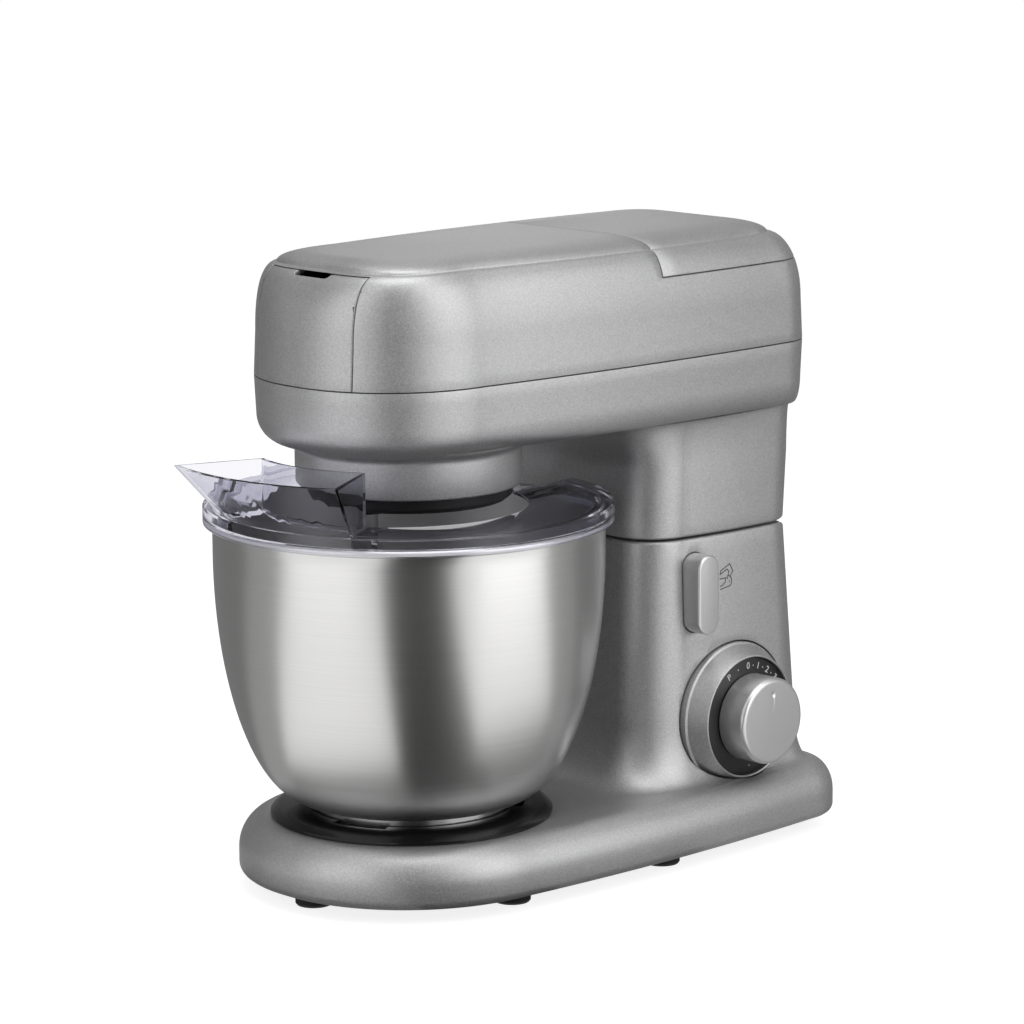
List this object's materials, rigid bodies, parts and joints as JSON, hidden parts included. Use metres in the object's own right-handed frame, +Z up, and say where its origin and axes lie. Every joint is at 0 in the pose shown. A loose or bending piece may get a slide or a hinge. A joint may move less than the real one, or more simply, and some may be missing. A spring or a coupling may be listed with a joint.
{
  "type": "stand mixer",
  "caption": "Tilting-head kitchen stand mixer with a bayonet bowl, clear splash guard, planetary tool spindle, front and top outlets behind covers, speed dial and release button.",
  "frame": {"origin": "middle of the outline on the table, under the feet", "axes": "+Z up, -Y towards the nose of the head and the bowl, +X towards the side with the dial and the button"},
  "size_m": [0.218, 0.387, 0.341],
  "materials": {
    "silver_paint": "fine silver metallic paint",
    "silver_trim": "smooth satin silver",
    "bowl_steel": "polished with fine turned brushing",
    "steel": "bright ground steel",
    "zinc_steel": "zinc plated sheet",
    "cast_metal": "die cast",
    "laminated_steel": "stacked laminations",
    "copper": "enamelled copper",
    "black_gloss": "deep gloss black",
    "black_plastic": "satin black",
    "gear_plastic": "natural acetal",
    "board": "green circuit board",
    "rubber": "soft matt rubber",
    "clear_guard": "clear, faintly violet"
  },
  "bodies": {
    "base": {"base_housing": "silver_paint", "bottom_cover": "black_plastic", "feet": "rubber", "cover_screws": "steel", "bowl_seat": "black_gloss", "seat_screws": "steel", "hinge_frame": "zinc_steel", "frame_screws": "steel", "hinge_pin": "steel", "dial_bezel": "silver_trim", "dial_scale": "black_gloss", "speed_switch": "black_plastic", "control_board": "board", "cord_gland": "rubber", "button_spring": "steel"},
    "knob": {"speed_knob": "silver_trim"},
    "button": {"release_button": "silver_trim", "latch_slide": "zinc_steel"},
    "bowl": {"mixing_bowl": "bowl_steel", "bowl_foot": "bowl_steel"},
    "guard": {"splash_guard": "clear_guard"},
    "head": {"head_lower_shell": "silver_paint", "head_upper_shell": "silver_paint", "head_screws": "steel", "arm_frame": "cast_metal", "latch_catch": "zinc_steel", "motor_stator": "laminated_steel", "field_coils": "copper", "motor_top_bracket": "cast_metal", "motor_bottom_bracket": "cast_metal", "motor_bearings": "steel", "brush_holders": "copper", "carbon_brushes": "black_plastic", "drive_belt": "rubber", "pinion_bearing": "steel", "main_bearing": "steel", "ring_gear": "gear_plastic", "outlet_bracket": "cast_metal"},
    "rotor": {"motor_shaft": "steel", "rotor_core": "laminated_steel", "commutator": "copper", "cooling_fan": "gear_plastic", "motor_pulley": "zinc_steel", "blender_coupling": "black_plastic"},
    "countershaft": {"large_pulley": "black_plastic", "pinion_shaft": "steel"},
    "carrier": {"planetary_head": "black_plastic", "main_gear": "gear_plastic", "main_shaft": "steel", "shaft_bevel_gear": "gear_plastic"},
    "spindle": {"tool_spindle": "steel", "planet_gear": "gear_plastic"},
    "outlet": {"outlet_socket": "black_plastic"},
    "nose_cover": {"front_cover": "silver_paint"},
    "top_cover": {"rear_cover": "silver_paint"}
  },
  "joints": [
    {"name": "head_tilt", "type": "hinge", "parent": "base", "child": "head", "pos_m": [0, 0.1645, 0.179], "axis": [-1, 0, 0], "range_deg": [0, 30]},
    {"name": "knob_turn", "type": "hinge", "parent": "base", "child": "knob", "pos_m": [0.08, 0.1185, 0.072], "axis": [-1, 0, 0], "range_deg": [-32, 131]},
    {"name": "button_press", "type": "slide", "parent": "base", "child": "button", "axis": [-1, 0, 0], "range_m": [0, 0.005], "stiffness_N_per_m": 500, "springref_m": -0.003, "deforming": ["button_spring"]},
    {"name": "bowl_twist", "type": "hinge", "parent": "base", "child": "bowl", "pos_m": [0, -0.0625, 0.04], "axis": [0, 0, 1], "range_deg": [0, 32]},
    {"name": "guard_turn", "type": "hinge", "parent": "bowl", "child": "guard", "pos_m": [0, -0.0625, 0.203], "axis": [0, 0, 1], "range_deg": [-40, 40]},
    {"name": "planetary_turn", "type": "hinge", "parent": "head", "child": "carrier", "pos_m": [0, -0.0625, 0.25], "axis": [0, 0, 1], "continuous": true},
    {"name": "spindle_spin", "type": "hinge", "parent": "carrier", "child": "spindle", "pos_m": [0, -0.0925, 0.2], "axis": [0, 0, 1], "continuous": true},
    {"name": "countershaft_turn", "type": "hinge", "parent": "head", "child": "countershaft", "pos_m": [0, -0.01562, 0.26], "axis": [0, 0, 1], "continuous": true},
    {"name": "motor_turn", "type": "hinge", "parent": "head", "child": "rotor", "pos_m": [0, 0.1095, 0.25], "axis": [0, 0, 1], "continuous": true},
    {"name": "outlet_turn", "type": "hinge", "parent": "head", "child": "outlet", "pos_m": [0, -0.1125, 0.306], "axis": [0, -1, 0], "continuous": true},
    {"name": "front_cover_tilt", "type": "hinge", "parent": "head", "child": "nose_cover", "pos_m": [0, -0.143, 0.2764], "axis": [1, 0, 0], "range_deg": [0, 100]},
    {"name": "rear_cover_lift", "type": "slide", "parent": "head", "child": "top_cover", "axis": [0, 0, 1], "range_m": [0, 0.03]}
  ],
  "couplings": [
    {"joint": "spindle_spin", "follows": "planetary_turn", "ratio": -3},
    {"joint": "countershaft_turn", "follows": "planetary_turn", "ratio": -4},
    {"joint": "motor_turn", "follows": "planetary_turn", "ratio": -16},
    {"joint": "outlet_turn", "follows": "planetary_turn", "ratio": 1}
  ]
}
